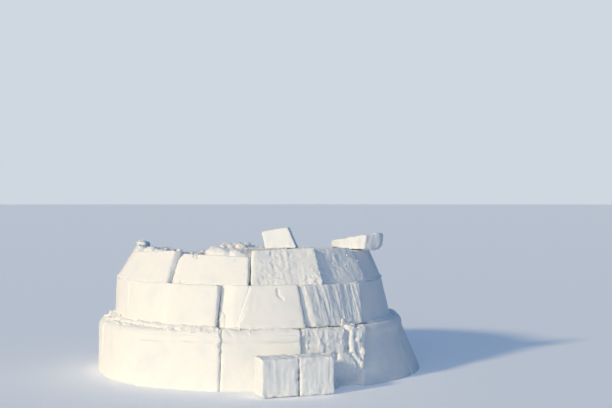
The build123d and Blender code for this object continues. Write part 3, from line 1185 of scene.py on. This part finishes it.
@dataclass
class SnowCrew:
    """Lays the loose snow where the photograph shows it, with its lengths in metres."""

    wall: Wall
    dice: random.Random = field(default_factory=lambda: random.Random(7))

    # How level snow has to be, and how high it has to lie, to hold a lump or a crumb
    lump_level: float = 0.5
    lump_height: float = LEDGE_HEIGHT - 0.1
    crumb_level: float = 0.45
    crumb_height: float = 0.3

    # Which part of its stretch a lump may take
    within: tuple[float, float] = (0.2, 0.8)

    # A lump on top: its height and depth to its width, how much of it rises, and its turn
    top_height: tuple[float, float] = (0.5, 0.8)
    top_depth: tuple[float, float] = (0.6, 0.9)
    top_rise: float = 0.2
    top_turn: float = 30.0

    # Banked snow: how far over the ledge the wall is felt for, how much of it sinks and
    # stands out, and its length and height to its width
    bank_feeler: float = 0.04
    bank_sink: float = 0.15
    bank_out: float = 0.1
    bank_length: float = 1.6
    bank_height: tuple[float, float] = (0.35, 0.7)

    # A lump stuck to the face: how much of it sinks in, its depth and height to its
    # width, and its turn
    stuck_sink: float = 0.3
    stuck_depth: float = 0.8
    stuck_height: tuple[float, float] = (0.7, 1.2)
    stuck_turn: float = 25.0

    def around(self, low: float, high: float) -> float:
        """Pick a number between two."""
        return self.dice.uniform(low, high)

    def along(self, ends: tuple[float, float], index: int, count: int) -> float:
        """Pick a number in one of several equal stretches between two ends.

        Args:
            ends: The two ends.
            index: Number of the stretch, from 0.
            count: Number of stretches.

        Returns:
            The number.
        """
        share = (index + self.around(*self.within)) / count
        return ends[0] + (ends[1] - ends[0]) * share

    def on_top(
        self, azimuths: tuple[float, float], radii: tuple[float, float], count: int,
        size: tuple[float, float],
    ) -> list[Lump]:
        """Lay lumps on the top of the wall, each sunk a little into it.

        Args:
            azimuths: First and last azimuth, in degrees.
            radii: Least and largest distance from the ring's middle.
            count: Number of lumps, fewer where the snow is too low or steep.
            size: Least and largest half width.

        Returns:
            The lumps.
        """
        lumps = []
        for index in range(count):
            azimuth = self.along(azimuths, index, count)
            place, normal = self.wall.top(azimuth, self.around(*radii))
            wide = self.around(*size)
            high = wide * self.around(*self.top_height)
            if place.z > self.lump_height and normal.z > self.lump_level:
                lumps.append(Lump(
                    place + Vector((0, 0, high * self.top_rise)),
                    (wide, wide * self.around(*self.top_depth), high),
                    azimuth + self.around(-self.top_turn, self.top_turn),
                ))
        return lumps

    def on_ledge(
        self, height: float, azimuths: tuple[float, float], count: int,
        size: tuple[float, float],
    ) -> list[Lump]:
        """Bank soft snow in the corner over a course.

        Args:
            height: Height of the ledge.
            azimuths: First and last azimuth, in degrees.
            count: Number of lumps.
            size: Least and largest half width.

        Returns:
            The lumps.
        """
        lumps = []
        for index in range(count):
            azimuth = self.along(azimuths, index, count)
            wide = self.around(*size)
            corner = self.wall.face(azimuth, height + self.bank_feeler)
            corner.z = height - wide * self.bank_sink
            lumps.append(Lump(
                corner + outward_at(azimuth) * wide * self.bank_out,
                (wide * self.bank_length, wide, wide * self.around(*self.bank_height)),
                azimuth,
            ))
        return lumps

    def on_face(
        self, azimuths: tuple[float, float], heights: tuple[float, float], count: int,
        size: tuple[float, float],
    ) -> list[Lump]:
        """Stick lumps to the outer face, one over the other.

        Args:
            azimuths: Least and largest azimuth, in degrees.
            heights: First and last height.
            count: Number of lumps.
            size: Least and largest half width.

        Returns:
            The lumps.
        """
        lumps = []
        for index in range(count):
            height = self.along(heights, index, count)
            azimuth = self.around(*azimuths)
            wide = self.around(*size)
            place = self.wall.face(azimuth, height)
            lumps.append(Lump(
                place - outward_at(azimuth) * wide * self.stuck_sink,
                (wide, wide * self.stuck_depth, wide * self.around(*self.stuck_height)),
                azimuth + self.around(-self.stuck_turn, self.stuck_turn),
            ))
        return lumps

    def drop_crumbs(
        self, azimuths: tuple[float, float], radii: tuple[float, float], count: int
    ) -> list[Vector]:
        """Drop crumbs on whatever snow is level enough to hold them.

        Args:
            azimuths: Least and largest azimuth, in degrees.
            radii: Least and largest distance from the ring's middle.
            count: Number of crumbs that are dropped.

        Returns:
            The places of those that stay.
        """
        dropped = []
        for _ in range(count):
            place, normal = self.wall.top(self.around(*azimuths), self.around(*radii))
            if place.z > self.crumb_height and normal.z > self.crumb_level:
                dropped.append(place)
        return dropped


@dataclass(frozen=True)
class Lamp:
    """One distant light, by where it comes from and how wide it spreads, in degrees."""

    name: str
    colour: str
    strength: float
    azimuth: float
    height: float
    spread: float

    def build(self) -> None:
        """Hang the light."""
        light = bpy.data.lights.new(self.name, "SUN")
        light.energy = self.strength
        light.angle = math.radians(self.spread)
        light.color = srgb(self.colour)[:3]
        towards = outward_at(self.azimuth) * math.cos(math.radians(self.height))
        towards.z = math.sin(math.radians(self.height))
        lamp = placed(self.name, light)
        lamp.rotation_euler = towards.to_track_quat("Z", "Y").to_euler()


@dataclass
class Studio:
    """Pale floor, low warm key from the left, blue sky, and the photograph's camera."""

    floor_radius: float = 400.0
    floor_sides: int = 96
    floor_colour: str = "#F4F6F9"
    floor_roughness: float = 0.9
    floor_lift: float = 0.16
    backdrop_colour: str = "#CFD7E1"
    sky_colour: str = "#4FACFF"
    sky_strength: float = 0.29
    key: Lamp = Lamp("key", "#FFE7B7", 2.32, azimuth=-47.0, height=22.0, spread=6.0)
    bounce: Lamp = Lamp("bounce", "#FFFFF7", 0.85, azimuth=-12.0, height=15.0, spread=60.0)

    # The photograph's camera, worked out from the horizon and an eye height of 1.65 m
    eye_height: float = 1.65
    camera_distance: float = 11.0
    camera_aside: float = 0.49
    pitch_down: float = 0.21
    sensor_width: float = 36.0
    lens: float = 64.7

    def build(self) -> None:
        """Make the floor, the lights and the camera."""
        self.floor()
        self.sky()
        self.key.build()
        self.bounce.build()
        self.camera()

    def floor(self) -> None:
        """Make a round pale floor."""
        shape = bmesh.new()
        bmesh.ops.create_circle(
            shape, cap_ends=True, segments=self.floor_sides, radius=self.floor_radius
        )
        floor = placed("studio_floor", mesh_of("studio_floor", shape))
        # Matt floor paint, which looks paler to the camera than the low sun lights it
        paint = bpy.data.materials.new("matt_floor_paint")
        paint.use_nodes = True
        tree = paint.node_tree
        inputs = tree.nodes["Principled BSDF"].inputs
        inputs["Base Color"].default_value = srgb(self.floor_colour)
        inputs["Roughness"].default_value = self.floor_roughness
        inputs["Emission Color"].default_value = srgb(self.backdrop_colour)
        shown = add_node(
            tree, MATH, [self.seen(tree), self.floor_lift], operation="MULTIPLY"
        )[0]
        tree.links.new(shown, inputs["Emission Strength"])
        floor.data.materials.append(paint)

    def seen(self, tree: bpy.types.NodeTree) -> Socket:
        """Tell the rays that show a surface or the backdrop from those that light.

        Args:
            tree: Node tree that gets the nodes.

        Returns:
            1 for the rays that show, and 0 for the others.
        """
        rays = add_node(tree, "ShaderNodeLightPath")
        seen = rays["Is Camera Ray"]
        for ray in ("Is Glossy Ray", "Is Transmission Ray"):
            seen = add_node(tree, MATH, [seen, rays[ray]], operation="MAXIMUM")[0]
        return seen

    def sky(self) -> None:
        """Light with a blue sky, and show a plain pale backdrop."""
        sky = bpy.data.worlds.new("pale_sky")
        sky.use_nodes = True
        sky.node_tree.nodes.clear()
        add = partial(add_node, sky.node_tree)
        light = add(
            "ShaderNodeBackground",
            {"Color": srgb(self.sky_colour), "Strength": self.sky_strength},
        )[0]
        backdrop = add(
            "ShaderNodeBackground", {"Color": srgb(self.backdrop_colour), "Strength": 1.0}
        )[0]
        mixed = add("ShaderNodeMixShader", [self.seen(sky.node_tree), light, backdrop])[0]
        add("ShaderNodeOutputWorld", {"Surface": mixed})
        bpy.context.scene.world = sky

    def camera(self) -> None:
        """Stand the camera where the photograph was taken."""
        optics = bpy.data.cameras.new("camera")
        optics.sensor_width = self.sensor_width
        optics.lens = self.lens
        camera = placed("camera", optics)
        camera.location = (
            RING_CENTRE.x + self.camera_aside, RING_CENTRE.y - self.camera_distance,
            self.eye_height,
        )
        camera.rotation_euler = (math.radians(90 - self.pitch_down), 0, 0)
        bpy.context.scene.camera = camera


def lay_blocks(wall_snow: bpy.types.Material, cut_snow: bpy.types.Material) -> None:
    """Dress every block.

    Args:
        wall_snow: The material of the blocks in the wall.
        cut_snow: The material of the loose blocks.
    """
    snow = SnowTree()
    fused = Edges(0.0, 0.0, 0.0, 0.0)
    courses = (
        Course(
            "first_course", 13,
            {
                1: Face.PACKED, 2: Face.PACKED, 3: Face.CREASED, 4: Face.CREASED,
                5: Face.BROKEN, 6: Face.TROWELLED, 7: Face.TROWELLED,
            },
            {
                1: Edges(head=0.7), 2: Edges(head=0.7), 3: Edges(far=0.5, head=0.6),
                4: Edges(near=0.25, far=0.1, head=0.3), 5: Edges(near=0.3, head=0.5),
                6: Edges(near=0.0, far=0.0, head=0.4),
                7: Edges(near=0.0, far=0.0, head=0.4),
            },
            {
                4: Nicks(((-0.30, 0.255, -0.245, 0.19), (-0.155, 0.25, -0.11, 0.20))),
                5: Nicks(
                    (
                        (0.135, 0.24, 0.14, 0.02), (0.015, 0.02, 0.012, -0.02),
                        (0.22, 0.18, 0.232, 0.01), (0.17, 0.0, 0.235, -0.10),
                        (0.22, 0.04, 0.28, -0.06),
                    ),
                    width=0.045, depth=0.035,
                ),
            },
        ),
        Course(
            "second_course", 14,
            {
                1: Face.PACKED, 2: Face.PACKED, 3: Face.SMOOTHED, 4: Face.SMOOTHED,
                5: Face.SMOOTHED, 6: Face.HEWN, 7: Face.TROWELLED, 8: Face.TROWELLED,
            },
            {
                1: Edges(head=0.3), 2: Edges(head=0.05),
                3: Edges(far=0.6, head=0.05, foot=0.05),
                4: Edges(near=0.3, far=0.05, head=0.05),
                5: Edges(near=0.1, far=0.7, head=0.05), 6: Edges(near=0.3),
                7: fused, 8: fused,
            },
            {
                4: Nicks(((0.127, 0.003, 0.076, -0.125),)),
                5: Nicks((
                    (-0.219, 0.006, -0.274, -0.124), (0.055, 0.14, 0.06, 0.085),
                    (0.06, 0.085, 0.10, 0.05),
                )),
            },
        ),
        Course(
            "third_course", 12,
            {
                1: Face.DIMPLED, 2: Face.SMOOTHED, 3: Face.SMOOTHED, 4: Face.MOTTLED,
                5: Face.DIMPLED, 6: Face.TROWELLED,
            },
            {
                1: Edges(0.3, 0.1, 1.0, 0.05), 2: Edges(0.1, 0.6, 0.6, 0.05),
                3: Edges(0.7, 0.5, 0.6, 0.05), 4: Edges(0.5, 0.2, 0.6, 0.1),
                5: Edges(0.2, 0.1, 0.6, 0.1), 6: Edges(0.1, 0.2, 0.7, 0.05),
                **{number: Edges(0.5, 0.5, 1.0, 0.12) for number in range(7, 13)},
            },
            {
                3: Nicks(
                    (
                        (-0.215, 0.15, -0.195, 0.085), (-0.17, 0.14, -0.16, 0.075),
                        (-0.37, -0.165, -0.32, -0.17), (-0.29, -0.165, -0.25, -0.17),
                    ),
                    depth=0.026,
                ),
            },
        ),
    )
    for course in courses:
        course.build(snow, wall_snow)
    loose = {
        "block_being_set": Face.LIFTED, "slab_across_wall": Face.LIFTED,
        "spare_block_left": Face.CUT_FREE, "spare_block_right": Face.CUT_FREE,
    }
    for number, (node, face) in enumerate(loose.items()):
        block = SnowBlock(node, face, Edges(1.0, 1.0, 1.0, 1.0), seed=LOOSE_SEED + number)
        block.build(snow, cut_snow, LOOSE_SLOT)


def lay_loose_snow(finish: bpy.types.Material) -> None:
    """Lay the lumps and crumbs that the builders left.

    Args:
        finish: The material of the loose snow.
    """
    crew = SnowCrew(Wall())
    lumps = LooseTree()
    crumbs = LooseTree("snow_crumbs", crumbs=True)
    heaps = (
        LooseSnow(
            "lumps_on_left_top",
            crew.on_top((-92, -80), (1.11, 1.17), 9, (0.045, 0.07))
            + crew.on_top((-66, -59), (1.05, 1.13), 9, (0.06, 0.08))
            + crew.on_top((-57, -53), (1.04, 1.12), 4, (0.03, 0.045))
            + crew.on_ledge(SHELF_HEIGHT, (-100, -74), 12, (0.015, 0.03))
            + crew.on_top((-38, -33), (1.10, 1.16), 3, (0.015, 0.03)),
            lumpiness=0.03, crumble=0.01,
        ),
        LooseSnow(
            "heap_on_front_top",
            crew.on_top((-19, -4), (1.0, 1.1), 26, (0.065, 0.1)),
            lumpiness=0.03, crumble=0.012,
        ),
        LooseSnow(
            "lumps_on_far_rim",
            crew.on_top((188, 212), (1.0, 1.13), 40, (0.04, 0.065))
            + crew.on_top((212, 224), (1.0, 1.13), 8, (0.025, 0.04))
            + crew.on_top((222, 250), (1.0, 1.1), 12, (0.02, 0.04)),
            lumpiness=0.04, crumble=0.014,
        ),
        LooseSnow(
            "drift_on_ledge",
            crew.on_ledge(LEDGE_HEIGHT, (-96, -12), 56, (0.035, 0.06))
            + crew.on_top((-96, -14), (1.38, 1.5), 60, (0.02, 0.04)),
            lumpiness=0.02, crumble=0.012,
        ),
        LooseSnow(
            "snow_in_front_joints",
            crew.on_ledge(LEDGE_HEIGHT, (-12, 29), 44, (0.014, 0.02))
            + crew.on_face((-11.5, -9.5), (0.54, 0.66), 9, (0.018, 0.03))
            + crew.on_face((-11, -9.5), (0.34, 0.53), 9, (0.016, 0.026)),
            lumpiness=0.02, crumble=0.01,
        ),
        LooseSnow(
            "trowelled_snow_on_right",
            crew.on_ledge(LEDGE_HEIGHT, (54, 112), 60, (0.045, 0.05))
            + crew.on_ledge(SHELF_HEIGHT, (64, 112), 50, (0.03, 0.035)),
            lumpiness=0.006, crumble=0.002,
        ),
        LooseSnow(
            "broken_edge_snow",
            crew.on_face((38.5, 41), (0.14, 0.55), 26, (0.015, 0.03))
            + crew.on_face((36, 41), (0.5, 0.57), 14, (0.02, 0.035))
            + crew.on_face((34, 40), (0.12, 0.2), 8, (0.015, 0.025)),
            lumpiness=0.03, crumble=0.014,
        ),
    )
    for heap in heaps:
        heap.build(lumps, finish)
    LooseSnow(
        "snow_crumbs",
        crumbs=crew.drop_crumbs((-97, -10), (1.36, 1.52), 240)
        + crew.drop_crumbs((-10, 50), (1.36, 1.5), 40)
        + crew.drop_crumbs((-100, 60), (1.0, 1.2), 110)
        + crew.drop_crumbs((60, 260), (0.96, 1.2), 260),
        lumpiness=0.0, crumble=0.006,
    ).build(crumbs, finish)


def main() -> None:
    """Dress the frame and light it."""
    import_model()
    bpy.context.scene.view_settings.view_transform = "Standard"
    # Snow of the wall, packed by the wind and cut with a saw: matt and nearly white, with
    # a fine sugary grain and bluish shade painted into its hollows
    wall_snow = SnowFinish("wind_packed_snow").material()
    # Snow of the loose blocks, freshly cut from the same bank: a little cooler
    cut_snow = SnowFinish("fresh_cut_snow", face="#F6F7F6").material()
    # Snow that fell from the saw and the spade: a smaller, rougher grain
    loose_snow = SnowFinish("loose_snow", grain_mm=6.0, grain_depth_mm=2.0).material()
    lay_blocks(wall_snow, cut_snow)
    lay_loose_snow(loose_snow)
    Studio().build()


if __name__ == "__main__":
    main()
